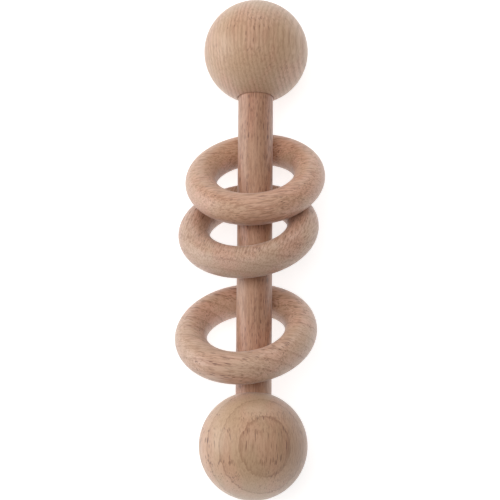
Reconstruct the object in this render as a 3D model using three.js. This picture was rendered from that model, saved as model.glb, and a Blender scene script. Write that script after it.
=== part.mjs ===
// Wooden baby rattle: a dowel with a ball glued on each end and three loose rings around it.
// Millimetres, +Z up. The rattle lies on the plane z = 0 with its dowel along +Y.
import * as THREE from 'three';

// Driving dimensions
const overallLength = 145;
const ballDiameter = 30;
const dowelDiameter = 10;
const ringOuterDiameter = 40;
const ringTubeDiameter = 9;
const socketDepth = 14; // from the ball's surface on the dowel's axis to the socket's flat floor
const glueGap = 0.1; // room left for glue around and beyond each end of the dowel
const dowelChamfer = 0.6;
const leanGap = 0.15; // between the dowel and a ring that leans on it

// Facets
const roundSides = 40; // around the balls and the dowel, so their flats line up in the sockets
const ringSides = 48;
const ringTubeSides = 16;

// Where each ring lies: along the dowel, to the side of it, and turned about the vertical
const rings = [
  { name: 'ring_upper', along: 19.3, side: 0, turnDeg: 4.5, color: 0xc9a68c },
  { name: 'ring_middle', along: 4.2, side: -1.8, turnDeg: 7, color: 0xb89c88 },
  { name: 'ring_lower', along: -25.65, side: -2.3, turnDeg: 7, color: 0xc4a48c },
];

const ballRadius = ballDiameter / 2;
const dowelRadius = dowelDiameter / 2;
const ringTubeRadius = ringTubeDiameter / 2;
const ringMeanRadius = ringOuterDiameter / 2 - ringTubeRadius;
const ballOffset = overallLength / 2 - ballRadius; // from the dowel's middle to a ball's centre
const socketFloor = ballRadius - socketDepth; // from a ball's centre, towards the dowel

// A ring's low edge touches the ground and its high edge passes over the dowel. Its tube's centre
// line climbs by the ball's radius, the dowel's radius and the gap across its whole diameter.
const ringLean = Math.asin((ballRadius + dowelRadius + leanGap) / (2 * ringMeanRadius));
const ringHeight = ringMeanRadius * Math.sin(ringLean) + ringTubeRadius;

// The rings stand out further on one side, so the dowel is set over to centre the whole object.
const ringSideOffsets = rings.map((ring) => ring.side);
const sideShift = -(Math.min(...ringSideOffsets) + Math.max(...ringSideOffsets)) / 2;

function wood(color) {
  return new THREE.MeshStandardMaterial({ color, roughness: 0.62, metalness: 0 });
}

function arcPoints(radius, startDeg, endDeg, steps) {
  const points = [];
  for (let step = 0; step <= steps; step += 1) {
    const angle = THREE.MathUtils.degToRad(startDeg + ((endDeg - startDeg) * step) / steps);
    points.push(new THREE.Vector2(radius * Math.sin(angle), -radius * Math.cos(angle)));
  }
  return points;
}

// A turned ball with a blind, flat-floored socket that opens towards -Y. The outline runs from the
// socket's floor, down its wall to the rim, and over the outside to the far pole.
function ballGeometry() {
  const socketRadius = dowelRadius + glueGap;
  const rimDeg = THREE.MathUtils.radToDeg(Math.asin(socketRadius / ballRadius));
  const outline = [
    new THREE.Vector2(0, -socketFloor),
    new THREE.Vector2(socketRadius, -socketFloor),
    ...arcPoints(ballRadius, rimDeg, 90, 8),
    ...arcPoints(ballRadius, 90, 180, 10).slice(1, -1),
    new THREE.Vector2(0, ballRadius),
  ];
  return new THREE.LatheGeometry(outline, roundSides);
}

// A straight rod along Y with a small chamfer at each end, reaching into both sockets.
function dowelGeometry() {
  const halfLength = ballOffset - socketFloor - glueGap;
  const outline = [
    new THREE.Vector2(0, -halfLength),
    new THREE.Vector2(dowelRadius - dowelChamfer, -halfLength),
    new THREE.Vector2(dowelRadius, -halfLength + dowelChamfer),
    new THREE.Vector2(dowelRadius, halfLength - dowelChamfer),
    new THREE.Vector2(dowelRadius - dowelChamfer, halfLength),
    new THREE.Vector2(0, halfLength),
  ];
  return new THREE.LatheGeometry(outline, roundSides);
}

function namedMesh(name, geometry, color) {
  const mesh = new THREE.Mesh(geometry, wood(color));
  mesh.name = name;
  return mesh;
}

// The bar that a hand holds: the dowel and the two balls, with its axis at the balls' height.
function makeBar() {
  const bar = new THREE.Group();
  const dowel = namedMesh('dowel', dowelGeometry(), 0xb89378);
  const topBall = namedMesh('top_ball', ballGeometry(), 0xc2a083);
  const bottomBall = namedMesh('bottom_ball', ballGeometry(), 0xbf9a7c);
  topBall.position.y = ballOffset;
  bottomBall.position.y = -ballOffset;
  bottomBall.rotation.x = Math.PI;
  bar.add(dowel, topBall, bottomBall);
  bar.position.z = ballRadius;
  return bar;
}

// A loose ring: turned about the vertical, then leaned so that its +Y edge is down on the ground.
function makeRing(ring) {
  const geometry = new THREE.TorusGeometry(
    ringMeanRadius,
    ringTubeRadius,
    ringTubeSides,
    ringSides,
  );
  const mesh = namedMesh(ring.name, geometry, ring.color);
  mesh.rotation.set(-ringLean, 0, THREE.MathUtils.degToRad(ring.turnDeg), 'ZXY');
  mesh.position.set(ring.side, ring.along, ringHeight);
  return mesh;
}

const rattle = new THREE.Group();
rattle.add(makeBar());
for (const ring of rings) {
  rattle.add(makeRing(ring));
}
rattle.position.x = sideShift;

export default rattle;
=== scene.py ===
"""Wooden baby rattle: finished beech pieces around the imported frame, in metres."""

import math
from typing import NamedTuple

import bmesh
import bpy
import numpy as np
from mathutils import Matrix, Vector


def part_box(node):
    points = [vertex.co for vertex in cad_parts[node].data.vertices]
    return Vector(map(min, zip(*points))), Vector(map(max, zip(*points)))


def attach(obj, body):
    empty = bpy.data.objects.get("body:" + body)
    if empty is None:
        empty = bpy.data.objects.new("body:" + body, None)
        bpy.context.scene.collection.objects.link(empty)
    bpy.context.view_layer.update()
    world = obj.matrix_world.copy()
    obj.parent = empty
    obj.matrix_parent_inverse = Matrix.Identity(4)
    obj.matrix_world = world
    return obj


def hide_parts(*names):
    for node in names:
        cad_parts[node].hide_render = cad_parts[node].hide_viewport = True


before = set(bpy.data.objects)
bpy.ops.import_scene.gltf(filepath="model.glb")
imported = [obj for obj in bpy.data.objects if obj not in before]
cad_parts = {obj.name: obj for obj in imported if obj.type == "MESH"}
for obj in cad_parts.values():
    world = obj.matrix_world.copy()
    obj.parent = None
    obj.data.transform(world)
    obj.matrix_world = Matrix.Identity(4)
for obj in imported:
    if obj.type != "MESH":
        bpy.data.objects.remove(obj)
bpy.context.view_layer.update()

MM = 0.001
FULL_TURN = 2 * math.pi

# A gap and edges that the nodes' boxes don't show
GLUE_GAP = 0.1 * MM
RIM_ROUNDING = 0.15 * MM
DOWEL_CHAMFER = 0.6 * MM

# Decimals of a metre to which two of the frame's points agree when they are one point
SAME_POINT = 7

# Mesh fineness
BALL_SIDES = 128
BALL_ARC_STEPS = 72
RIM_STEPS = 4
DOWEL_SIDES = 96
DOWEL_BANDS = 40
RING_SIDES = 192
RING_TUBE_SIDES = 56
SHARP_EDGE = math.radians(35)

# Wood, in mm
SEED_STEP = 37.0  # along the trunk, from one seed's wood to the next
GRAIN_WANDER = 0.8  # across the grain, from one extreme to the other
UNEVEN_YEARS = 1.2  # out from the pith, in the same way
SIDE_SHADE_REACH = (-1.0, 11.0)  # where the painted shade on one side starts and where it is full

# Noises: waves per mm along the grain, round the pith and out from it, then detail and roughness
NOISE_MIDDLE = 0.5
WANDER_NOISE = ((0.03, 0.11, 0.11), 1.0, 0.5)
RAGGED_NOISE = ((0.25, 1.5, 1.0), 3.0, 0.6)
YEARS_NOISE = ((1.0, 1.0, 0.35), 0.0, 0.5)
YEARS_SEED_STEP = 3.1  # in waves, from one seed's years to the next

# Fibrous noises: waves per mm across the grain, then detail and roughness
STREAK_NOISE = (2.1, 3.0, 0.6)
PORE_NOISE = (3.8, 2.0, 0.7)
PATCH_NOISE = (0.16, 2.0, 0.5)
PATCH_WAVES_ALONG = 0.05  # per mm along the grain
PORES_PER_STREAK = 3  # pores that fit in a streak's length

# Where a mark starts and where it is full, or where its fading does: in a year, in a noise or in
# how far the surface faces along the grain
LATE_SEASON = (0.3, 0.95)
FLECK_SEASON = (0.35, 0.8)
PINK_PATCH = (0.38, 0.64)
FLECKED_PATCH = (0.38, 0.52)
LINED_PATCH = (0.35, 0.6)
STREAK_LEVEL = (0.45, 0.62)
PORE_LEVEL = (0.50, 0.68)
ROUGH_LEVEL = (0.35, 0.65)
END_GRAIN_AND_HIGHLIGHT_FACING = (0.4, 0.95)
FADING_FACING = (0.3, 0.85)

# What is left of a mark where it is weakest
EARLY_FLECKS = 0.7
CALM_PATCH_FLECKS = 0.3
CALM_PATCH_LINES = 0.5
END_GRAIN_MARKS = 0.6

# The depth of late wood next to that of a year's line, and of pores next to that of streaks
LATE_WOOD_TO_LINE = 0.3
PORES_TO_STREAKS = 0.7

# The share of a line's width that is left where it is full and where it starts to fade
LINE_FULL = 0.3
LINE_FADE = 0.2

# The share of a fleck's length that is fully dark, and of the flecks that aren't faint
FLECK_FULL = 0.6
CHANCE_FULL = 0.6

# Flecks: half length in cells, and the bold ones' cell and share as multiples of the fine ones'
FINE_CORE = 0.40
BOLD_CORE = 0.36
BOLD_CELL = (1.5, 1.2, 1.4)
BOLD_SHARE = 0.6

# Linear colours that the wood's tone is multiplied by: its two kinds of patch, then each mark
TAN = (0.97, 0.98, 0.94)
PINK = (1.03, 0.96, 0.95)
TINTS = {
    "late_wood": (0.66, 0.55, 0.47),
    "year_line": (0.66, 0.55, 0.47),
    "streaks": (0.72, 0.62, 0.55),
    "pores": (0.66, 0.56, 0.49),
    "fine_flecks": (0.38, 0.26, 0.19),
    "bold_flecks": (0.30, 0.19, 0.13),
    # Painted shade, darkening one side of a piece: the bottom ball's +X side
    "side_shade": (0.62, 0.50, 0.42),
    # End grain's own lighter, cooler tone, and in part a painted cool highlight on the rings' fronts
    "end_grain_and_highlight": (1.0, 1.05, 1.10),
}

# Wood surface. The cuts are shares of a pore's depth.
ROUGHNESS_LOW = 0.40
ROUGHNESS_HIGH = 0.52
SPECULAR_LEVEL = 1.0
SHEEN_WEIGHT = 0.25
SHEEN_ROUGHNESS = 0.4
BUMP_STRENGTH = 0.45
PORE_DEPTH = 0.08 * MM
STREAK_CUT = 0.9
BOLD_FLECK_CUT = 0.8
FINE_FLECK_CUT = 0.5


class Look(NamedTuple):
    """How a piece's wood was cut and how dark its marks are, from 0 to 1. Lengths are in mm."""

    fibre: tuple  # direction along the grain, in the piece's own frame
    radial: tuple  # direction away from the middle of the tree
    pith_distance: float  # from the middle of the tree to the piece's centre
    seed: int  # picks the stretch of trunk
    tone: tuple  # the wood's lighter colour, from 0 to 255
    ring_width: float  # one year's growth
    fleck_size: tuple  # of the cell of one small fleck: along the grain, round the pith, out from it
    fleck_share: float  # the part of the cells that hold a fleck
    fleck_depth: float
    streak_depth: float
    streak_length: float = 5.5
    ring_depth: float = 0.3
    ring_line: float = 0.25  # the share of a year that its dark line takes
    ring_wobble: float = 0.6  # how wavy that line is
    side_shade_depth: float = 0.0  # of the painted shade to one side


LOOKS = {
    # Grain along the rod
    "dowel": Look(
        fibre=(0.01, 1, 0), radial=(0.6, 0, 0.8), pith_distance=38, seed=41, tone=(185, 141, 115),
        ring_width=2.4, fleck_size=(2.0, 0.36, 0.5), fleck_share=0.8, fleck_depth=0.7,
        streak_depth=0.7, streak_length=5.0,
    ),
    # Growth rings edge on
    "top_ball": Look(
        fibre=(0, 1, 0), radial=(1, 0, 0.1), pith_distance=60, seed=2, tone=(203, 166, 137),
        ring_width=1.2, fleck_size=(2.2, 0.32, 0.8), fleck_share=0.3, fleck_depth=0.5,
        streak_depth=0.5, ring_depth=0.46, ring_line=0.7, ring_wobble=1.0,
    ),
    # Growth rings face on, as an oval figure, with painted shade darkening it towards +X
    "bottom_ball": Look(
        fibre=(0, 0.985, 0.170), radial=(-0.28, 0.16, -0.935), pith_distance=54.4, seed=3,
        tone=(198, 162, 132), ring_width=5.2, fleck_size=(4.0, 0.33, 0.9), fleck_share=0.4,
        fleck_depth=1.0, streak_depth=0.45, streak_length=4.0, ring_depth=0.8, ring_line=0.13,
        ring_wobble=2.0, side_shade_depth=0.85,
    ),
    # Grain level across the ring
    "ring_upper": Look(
        fibre=(1, 0.03, 0), radial=(0, 1, 0.1), pith_distance=60, seed=64, tone=(205, 164, 138),
        ring_width=2.4, fleck_size=(4.5, 0.34, 0.5), fleck_share=0.7, fleck_depth=0.65,
        streak_depth=0.9, ring_depth=0.2,
    ),
    # Grain up and down the lean, so that the high and the low edge show end grain
    "ring_middle": Look(
        fibre=(-0.3, -1, 0.05), radial=(0.1, 0, 1), pith_distance=34, seed=65, tone=(198, 162, 139),
        ring_width=2.6, fleck_size=(2.0, 0.4, 0.5), fleck_share=0.5, fleck_depth=0.7,
        streak_depth=0.9, streak_length=4.0, ring_depth=0.35,
    ),
    # Grain slanting across the ring
    "ring_lower": Look(
        fibre=(1, -0.45, 0), radial=(0.25, 0.85, 0.5), pith_distance=50, seed=56,
        tone=(203, 167, 144), ring_width=3.2, fleck_size=(3.0, 0.38, 0.5), fleck_share=0.65,
        fleck_depth=0.9, streak_depth=0.7, ring_depth=0.45,
    ),
}

# Studio: a white table that glows a little, light panels in metres and watts, and a dim white sky
FLOOR_HALF_WIDTH = 3.0
FLOOR_DROP = 0.02 * MM
FLOOR_GREY = 0.6
FLOOR_ROUGHNESS = 0.9
FLOOR_SPECULAR_LEVEL = 0.1
FLOOR_GLOW = 0.7
PANELS = {
    "panel_left": dict(position=(-1.0, 0.1, 0.3), size=0.9, power=5.0, glossy=True),
    "panel_above": dict(position=(-0.15, 0.1, 1.2), size=1.2, power=9.0, glossy=False),
    "panel_behind": dict(position=(0.1, 1.0, 0.3), size=0.9, power=2.2, glossy=True),
}
SKY_STRENGTH = 0.22

# Camera: lens and sensor in mm, angles in radians, aim measured from the middle of the dowel's axis
LENS = 139.3
SENSOR_WIDTH = 36.0
CAMERA_DISTANCE = 546.9 * MM
CAMERA_LEAN = 0.2483
CAMERA_TURN = 0.0422
CAMERA_ROLL = 0.0079
CAMERA_CLIP_START = 0.01
AIM_FROM_DOWEL = Vector((-1.304 * MM, -1.776 * MM, 0.0))


# ---------------------------------------------------------------- sizes and places from the frame


def box_centre(node):
    low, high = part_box(node)
    return (low + high) / 2


def dowel_place():
    """Centre, radius and length of the dowel."""
    low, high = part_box("dowel")
    return (low + high) / 2, (high.z - low.z) / 2, high.y - low.y


def ball_place(node, side):
    """Centre and radius of a ball; side is +1 for the ball at +Y and -1 for the one at -Y."""
    low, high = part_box(node)
    radius = (high.z - low.z) / 2
    centre = (low + high) / 2
    pole = high.y if side > 0 else low.y
    centre.y = pole - side * radius
    return centre, radius


def ring_place(node):
    """The ring's own frame as a matrix (X level, Y down to its low edge, Z its axis) and radii."""
    centre = box_centre(node)
    points = np.array([v.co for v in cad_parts[node].data.vertices])
    points = np.unique(points.round(SAME_POINT), axis=0) - np.array(centre)
    directions = np.linalg.svd(points, full_matrices=False)[2]
    # The ring's points spread least along its axis
    axis = Vector(directions[2])
    if axis.z < 0:
        axis.negate()
    level = axis.cross(Vector((0, 0, 1))).normalized()
    downhill = axis.cross(level)
    along = points @ np.array(axis)
    reach = np.linalg.norm(points - np.outer(along, np.array(axis)), axis=1)
    mean_radius = (reach.max() + reach.min()) / 2
    tube_radius = (reach.max() - reach.min()) / 2
    rotation = Matrix((level, downhill, axis)).transposed().to_4x4()
    return Matrix.Translation(centre) @ rotation, mean_radius, tube_radius


# ---------------------------------------------------------------- meshes


def arc(centre, radius, start, end, steps):
    """Points (distance from the axis, height) along a round stretch, both ends included."""
    angles = [start + (end - start) * step / steps for step in range(steps + 1)]
    return [(centre[0] + radius * math.cos(a), centre[1] + radius * math.sin(a)) for a in angles]


def make_object(name, vertices, faces):
    mesh = bpy.data.meshes.new(name)
    mesh.from_pydata(vertices, [], faces)
    shape = bmesh.new()
    shape.from_mesh(mesh)
    bmesh.ops.recalc_face_normals(shape, faces=shape.faces)
    shape.to_mesh(mesh)
    shape.free()
    mesh.shade_smooth()
    mesh.set_sharp_from_angle(angle=SHARP_EDGE)
    piece = bpy.data.objects.new(name, mesh)
    bpy.context.scene.collection.objects.link(piece)
    return piece


def turned(name, outline, sides, pole_side=1):
    """A solid turned about Y. The outline starts and ends on the axis; pole_side flips it end to end."""
    rim = outline[1:-1]
    vertices = [(0.0, pole_side * outline[0][1], 0.0), (0.0, pole_side * outline[-1][1], 0.0)]
    for side in range(sides):
        angle = FULL_TURN * side / sides
        for distance, height in rim:
            vertices.append((distance * math.cos(angle), pole_side * height, distance * math.sin(angle)))
    count = len(rim)
    faces = []
    for side in range(sides):
        here = 2 + side * count
        there = 2 + (side + 1) % sides * count
        faces.append((0, here, there))
        faces.append((1, there + count - 1, here + count - 1))
        for step in range(count - 1):
            faces.append((here + step, here + step + 1, there + step + 1, there + step))
    return make_object(name, vertices, faces)


def ball_outline(radius, socket_radius, socket_floor):
    """From the socket's floor, down its wall, round the eased rim and over the outside to the pole."""
    reach = socket_radius + RIM_ROUNDING
    depth = math.sqrt((radius - RIM_ROUNDING) ** 2 - reach**2)
    outward = math.atan2(-depth, reach)
    rim = arc((reach, -depth), RIM_ROUNDING, -math.pi, outward, RIM_STEPS)
    outside = arc((0, 0), radius, outward, math.pi / 2, BALL_ARC_STEPS)
    return [(0, -socket_floor), (socket_radius, -socket_floor), *rim, *outside[1:]]


def dowel_outline(radius, half_length):
    straight = half_length - DOWEL_CHAMFER
    sides = [(radius, -straight + 2 * straight * band / DOWEL_BANDS) for band in range(DOWEL_BANDS + 1)]
    end_radius = radius - DOWEL_CHAMFER
    return [
        (0, -half_length),
        (end_radius, -half_length),
        *sides,
        (end_radius, half_length),
        (0, half_length),
    ]


def ring_piece(name, mean_radius, tube_radius):
    """A round ring about Z with a round section."""
    vertices = []
    for side in range(RING_SIDES):
        around = FULL_TURN * side / RING_SIDES
        for tube_side in range(RING_TUBE_SIDES):
            across = FULL_TURN * tube_side / RING_TUBE_SIDES
            reach = mean_radius + tube_radius * math.cos(across)
            height = tube_radius * math.sin(across)
            vertices.append((reach * math.cos(around), reach * math.sin(around), height))
    faces = []
    for side in range(RING_SIDES):
        here = side * RING_TUBE_SIDES
        there = (side + 1) % RING_SIDES * RING_TUBE_SIDES
        for tube_side in range(RING_TUBE_SIDES):
            following = (tube_side + 1) % RING_TUBE_SIDES
            faces.append((here + tube_side, there + tube_side, there + following, here + following))
    return make_object(name, vertices, faces)


# ---------------------------------------------------------------- beech


class Graph:
    """Short calls for building one material's nodes."""

    def __init__(self, material):
        self.tree = material.node_tree

    def node(self, kind, **settings):
        made = self.tree.nodes.new(kind)
        for key, value in settings.items():
            setattr(made, key, value)
        return made

    def put(self, socket, value):
        if isinstance(value, bpy.types.NodeSocket):
            self.tree.links.new(value, socket)
        else:
            socket.default_value = value

    def math(self, operation, a, b=0.0):
        made = self.node("ShaderNodeMath", operation=operation)
        self.put(made.inputs[0], a)
        self.put(made.inputs[1], b)
        return made.outputs[0]

    def vector_math(self, operation, a, b):
        made = self.node("ShaderNodeVectorMath", operation=operation)
        self.put(made.inputs[0], a)
        self.put(made.inputs[1], b)
        return made.outputs[0]

    def split(self, vector):
        made = self.node("ShaderNodeSeparateXYZ")
        self.put(made.inputs[0], vector)
        return made.outputs

    def join(self, x, y, z):
        made = self.node("ShaderNodeCombineXYZ")
        for socket, value in zip(made.inputs, (x, y, z)):
            self.put(socket, value)
        return made.outputs[0]

    def noise(self, place, waves, detail, roughness):
        made = self.node("ShaderNodeTexNoise")
        self.put(made.inputs["Vector"], self.vector_math("MULTIPLY", place, waves))
        made.inputs["Scale"].default_value = 1.0
        made.inputs["Detail"].default_value = detail
        made.inputs["Roughness"].default_value = roughness
        return made.outputs

    def cells(self, vector):
        made = self.node("ShaderNodeTexVoronoi")
        self.put(made.inputs["Vector"], vector)
        made.inputs["Scale"].default_value = 1.0
        return made.outputs

    def ramp(self, value, span, low=0.0, high=1.0):
        """A smooth step from low, where value is at the span's start, to high at its end."""
        made = self.node("ShaderNodeMapRange", interpolation_type="SMOOTHSTEP")
        for socket, number in zip(made.inputs, (value, *span, low, high)):
            self.put(socket, number)
        return made.outputs[0]

    def mix(self, factor, a, b, blend="MIX"):
        made = self.node("ShaderNodeMix", data_type="RGBA", blend_type=blend)
        self.put(made.inputs[0], factor)
        self.put(made.inputs[6], a)
        self.put(made.inputs[7], b)
        return made.outputs[2]


def linear_colour(tone):
    """A screen colour, from 0 to 255, as the linear colour that a shader takes (the sRGB curve)."""
    def linear(value):
        value /= 255
        return value / 12.92 if value <= 0.04045 else ((value + 0.055) / 1.055) ** 2.4
    return [linear(value) for value in tone]


def tinted(colour, tint):
    """A linear colour multiplied by a tint, with an alpha of 1."""
    return (*[value * factor for value, factor in zip(colour, tint)], 1.0)


def wood_axes(place, look):
    """Origin and turn of the wood's own axes: along the grain, round the pith, out from the pith."""
    turn = place.to_3x3()
    fibre = (turn @ Vector(look.fibre)).normalized()
    tangent = (turn @ Vector(look.radial)).cross(fibre).normalized()
    to_wood = Matrix((fibre, tangent, fibre.cross(tangent)))
    centre = Vector((look.seed * SEED_STEP, 0.0, look.pith_distance))
    return centre - to_wood @ place.translation / MM, to_wood.to_euler("XYZ")


def wood_place(graph, place, look):
    """A point's place on the wood's own axes, in mm, and how far its surface faces along the grain."""
    origin, turn = wood_axes(place, look)
    coordinates = graph.node("ShaderNodeTexCoord")
    mapping = graph.node("ShaderNodeMapping")
    graph.put(mapping.inputs["Vector"], coordinates.outputs["Object"])
    mapping.inputs["Location"].default_value = origin
    mapping.inputs["Rotation"].default_value = turn
    mapping.inputs["Scale"].default_value = (1 / MM, 1 / MM, 1 / MM)
    turned_normal = graph.node("ShaderNodeMapping", vector_type="NORMAL")
    graph.put(turned_normal.inputs["Vector"], coordinates.outputs["Normal"])
    turned_normal.inputs["Rotation"].default_value = turn
    facing = graph.math("ABSOLUTE", graph.split(turned_normal.outputs[0])[0])
    return mapping.outputs[0], facing


def wandering_grain(graph, straight):
    """The same place in wood whose grain wanders slowly from straight."""
    wander = graph.noise(straight, *WANDER_NOISE)["Color"]
    wander = graph.vector_math("SUBTRACT", wander, (NOISE_MIDDLE, NOISE_MIDDLE, NOISE_MIDDLE))
    wander = graph.vector_math("MULTIPLY", wander, (0.0, GRAIN_WANDER, GRAIN_WANDER))
    return graph.vector_math("ADD", straight, wander)


def growth_rings(graph, straight, pith_radius, look):
    """The time of year, 0 to 1, the slow darkening over it and the thin, ragged line that ends it."""
    years = graph.join(look.seed * YEARS_SEED_STEP, 0.0, pith_radius)
    uneven = graph.noise(years, *YEARS_NOISE)
    ragged = graph.noise(straight, *RAGGED_NOISE)
    grown = pith_radius
    for waves, height in ((uneven, UNEVEN_YEARS), (ragged, look.ring_wobble)):
        wave = graph.math("MULTIPLY", graph.math("SUBTRACT", waves["Fac"], NOISE_MIDDLE), height)
        grown = graph.math("ADD", grown, wave)
    year = graph.math("FRACT", graph.math("DIVIDE", grown, look.ring_width))
    late = graph.ramp(year, LATE_SEASON)
    line_start = graph.ramp(year, (1 - look.ring_line, 1 - LINE_FULL * look.ring_line))
    line_end = graph.ramp(year, (1.0, 1 - LINE_FADE * look.ring_line))
    return year, late, graph.math("MULTIPLY", line_start, line_end)


def fibres(graph, grain, waves_along, waves_across, detail, roughness):
    """Noise drawn out along the grain."""
    return graph.noise(grain, (waves_along, waves_across, waves_across), detail, roughness)["Fac"]


def flecks(graph, ray_place, size, share, core):
    """Dark lens-shaped cuts, spread one to a cell: 1 inside a fleck.

    ray_place and size are (along the grain, round the pith, out from the pith) in mm, share is
    the part of the cells that hold a fleck, and core is a fleck's half length in cells.
    """
    cell = graph.cells(graph.vector_math("DIVIDE", ray_place, size))
    chance = graph.split(cell["Color"])[0]
    inside = graph.ramp(cell["Distance"], (core, core * FLECK_FULL))
    kept = graph.ramp(chance, (1 - share, 1 - share * CHANCE_FULL))
    return graph.math("MULTIPLY", inside, kept)


def beech(name, place, look):
    """Sanded, unfinished beech. place is the piece's own frame, as a matrix."""
    material = bpy.data.materials.new(name)
    material.use_nodes = True
    graph = Graph(material)
    shader = graph.tree.nodes["Principled BSDF"]

    straight, facing = wood_place(graph, place, look)
    grain = wandering_grain(graph, straight)
    along, side, out = graph.split(grain)
    squares = graph.math("ADD", graph.math("MULTIPLY", side, side), graph.math("MULTIPLY", out, out))
    pith_radius = graph.math("SQRT", squares)
    around = graph.math("MULTIPLY", graph.math("ARCTAN2", side, out), look.pith_distance)
    ray_place = graph.join(along, around, pith_radius)

    year, late, line = growth_rings(graph, straight, pith_radius, look)
    streak = fibres(graph, grain, 1 / look.streak_length, *STREAK_NOISE)
    pore = fibres(graph, grain, PORES_PER_STREAK / look.streak_length, *PORE_NOISE)
    patch = fibres(graph, grain, PATCH_WAVES_ALONG, *PATCH_NOISE)

    # Flecks are weaker on end grain, early in the year and in calm patches
    side_grain = graph.ramp(facing, FADING_FACING, 1.0, END_GRAIN_MARKS)
    weight = graph.math("MULTIPLY", graph.ramp(year, FLECK_SEASON, EARLY_FLECKS, 1.0),
                        graph.ramp(patch, FLECKED_PATCH, CALM_PATCH_FLECKS, 1.0))
    weight = graph.math("MULTIPLY", weight, side_grain)
    bold_size = tuple(size * times for size, times in zip(look.fleck_size, BOLD_CELL))
    fine = flecks(graph, ray_place, look.fleck_size, look.fleck_share, FINE_CORE)
    bold = flecks(graph, ray_place, bold_size, look.fleck_share * BOLD_SHARE, BOLD_CORE)
    fine = graph.math("MULTIPLY", fine, weight)
    bold = graph.math("MULTIPLY", bold, weight)

    # The year's line is weaker in calm patches, and streaks on end grain
    line = graph.math("MULTIPLY", line, graph.ramp(patch, LINED_PATCH, CALM_PATCH_LINES, 1.0))
    streaks = graph.ramp(streak, STREAK_LEVEL, 0.0, look.streak_depth)

    marks = {
        "late_wood": graph.math("MULTIPLY", late, LATE_WOOD_TO_LINE * look.ring_depth),
        "year_line": graph.math("MULTIPLY", line, look.ring_depth),
        "streaks": graph.math("MULTIPLY", streaks, side_grain),
        "pores": graph.ramp(pore, PORE_LEVEL, 0.0, PORES_TO_STREAKS * look.streak_depth),
        "fine_flecks": graph.math("MULTIPLY", fine, look.fleck_depth),
        "bold_flecks": graph.math("MULTIPLY", bold, look.fleck_depth),
        # Painted shade, darker towards one side of the piece
        "side_shade": graph.ramp(side, SIDE_SHADE_REACH, 0.0, look.side_shade_depth),
        # Lighter and cooler where the surface faces along the grain: end grain's tone, and in part a
        # painted highlight
        "end_grain_and_highlight": graph.ramp(facing, END_GRAIN_AND_HIGHLIGHT_FACING),
    }
    light = linear_colour(look.tone)
    colour = graph.mix(graph.ramp(patch, PINK_PATCH), tinted(light, TAN), tinted(light, PINK))
    for mark, tint in TINTS.items():
        colour = graph.mix(marks[mark], colour, (*tint, 1.0), "MULTIPLY")
    graph.put(shader.inputs["Base Color"], colour)

    roughness = graph.ramp(streak, ROUGH_LEVEL, ROUGHNESS_LOW, ROUGHNESS_HIGH)
    graph.put(shader.inputs["Roughness"], roughness)
    shader.inputs["Specular IOR Level"].default_value = SPECULAR_LEVEL
    shader.inputs["Sheen Weight"].default_value = SHEEN_WEIGHT
    shader.inputs["Sheen Roughness"].default_value = SHEEN_ROUGHNESS

    # Flecks, streaks and pores are cut into the surface
    cuts = graph.math("ADD", graph.math("MULTIPLY", bold, BOLD_FLECK_CUT),
                      graph.math("MULTIPLY", fine, FINE_FLECK_CUT))
    height = graph.math("SUBTRACT", graph.math("MULTIPLY", streak, -STREAK_CUT), cuts)
    bump = graph.node("ShaderNodeBump")
    bump.inputs["Strength"].default_value = BUMP_STRENGTH
    bump.inputs["Distance"].default_value = PORE_DEPTH
    graph.put(bump.inputs["Height"], graph.math("SUBTRACT", height, pore))
    graph.put(shader.inputs["Normal"], bump.outputs[0])
    return material


# ---------------------------------------------------------------- pieces


def finish_piece(piece, place, body, node):
    piece.data.transform(place)
    piece.data.materials.append(beech("beech_" + node, place, LOOKS[node]))
    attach(piece, body)
    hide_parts(node)


def add_dowel():
    centre, radius, length = dowel_place()
    piece = turned("dowel_rod", dowel_outline(radius, length / 2), DOWEL_SIDES)
    finish_piece(piece, Matrix.Translation(centre), "bar", "dowel")


def add_ball(node, side):
    centre, radius = ball_place(node, side)
    dowel_centre, dowel_radius, dowel_length = dowel_place()
    dowel_end = dowel_centre.y + side * dowel_length / 2
    socket_floor = side * (centre.y - dowel_end) - GLUE_GAP
    outline = ball_outline(radius, dowel_radius + GLUE_GAP, socket_floor)
    piece = turned(node + "_turned", outline, BALL_SIDES, side)
    finish_piece(piece, Matrix.Translation(centre), "bar", node)


def add_ring(which):
    node = "ring_" + which
    place, mean_radius, tube_radius = ring_place(node)
    piece = ring_piece(node + "_turned", mean_radius, tube_radius)
    finish_piece(piece, place, which + "_ring", node)


# ---------------------------------------------------------------- studio


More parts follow.
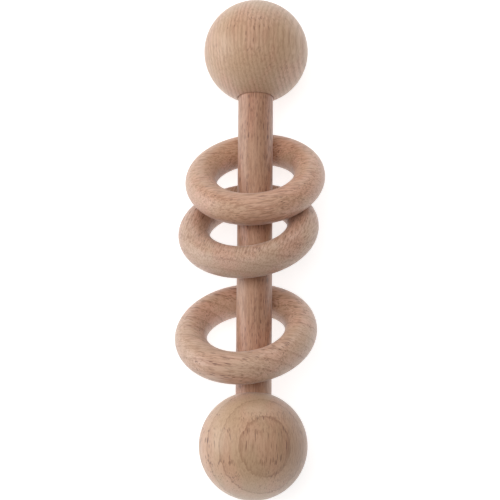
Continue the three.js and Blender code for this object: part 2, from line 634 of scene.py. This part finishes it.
def add_floor():
    half = FLOOR_HALF_WIDTH
    corners = [(-half, -half, 0), (half, -half, 0), (half, half, 0), (-half, half, 0)]
    floor = make_object("floor", corners, [(0, 1, 2, 3)])
    material = bpy.data.materials.new("white_table")
    material.use_nodes = True
    shader = material.node_tree.nodes["Principled BSDF"]
    shader.inputs["Base Color"].default_value = (FLOOR_GREY, FLOOR_GREY, FLOOR_GREY, 1)
    shader.inputs["Roughness"].default_value = FLOOR_ROUGHNESS
    shader.inputs["Specular IOR Level"].default_value = FLOOR_SPECULAR_LEVEL
    shader.inputs["Emission Color"].default_value = (1, 1, 1, 1)
    shader.inputs["Emission Strength"].default_value = FLOOR_GLOW
    floor.data.materials.append(material)
    floor.location.z = -FLOOR_DROP


def add_panel(name, position, size, power, glossy):
    """A round light that faces the object. One that isn't glossy gives no reflection."""
    light = bpy.data.lights.new(name, "AREA")
    light.shape = "DISK"
    light.size = size
    light.energy = power
    lamp = bpy.data.objects.new(name, light)
    lamp.visible_glossy = glossy
    lamp.location = position
    lamp.rotation_euler = (-Vector(position)).to_track_quat("-Z", "Y").to_euler()
    bpy.context.scene.collection.objects.link(lamp)


def add_lights():
    # Only the low panels reflect in the wood, so that the gloss comes from the left and from behind
    for name, panel in PANELS.items():
        add_panel(name, **panel)
    world = bpy.data.worlds.new("studio")
    world.use_nodes = True
    background = world.node_tree.nodes["Background"]
    background.inputs["Color"].default_value = (1, 1, 1, 1)
    background.inputs["Strength"].default_value = SKY_STRENGTH
    bpy.context.scene.world = world
    bpy.context.scene.view_settings.view_transform = "Standard"


def add_camera():
    back = Vector((
        math.sin(CAMERA_TURN),
        -math.sin(CAMERA_LEAN) * math.cos(CAMERA_TURN),
        math.cos(CAMERA_LEAN) * math.cos(CAMERA_TURN),
    )).normalized()
    upright = (Vector((0, 1, 0)) - back * back.y).normalized()
    across = upright.cross(back)
    cosine, sine = math.cos(CAMERA_ROLL), math.sin(CAMERA_ROLL)
    right = cosine * across + sine * upright
    up = cosine * upright - sine * across
    camera = bpy.data.objects.new("camera", bpy.data.cameras.new("camera"))
    camera.data.lens = LENS
    camera.data.sensor_width = SENSOR_WIDTH
    camera.data.clip_start = CAMERA_CLIP_START
    aim = box_centre("dowel") + AIM_FROM_DOWEL
    rotation = Matrix((right, up, back)).transposed().to_4x4()
    camera.matrix_world = Matrix.Translation(aim + back * CAMERA_DISTANCE) @ rotation
    bpy.context.scene.collection.objects.link(camera)
    bpy.context.scene.camera = camera


add_camera()
add_dowel()
add_ball("top_ball", 1)
add_ball("bottom_ball", -1)
for which in ("upper", "middle", "lower"):
    add_ring(which)
add_floor()
add_lights()
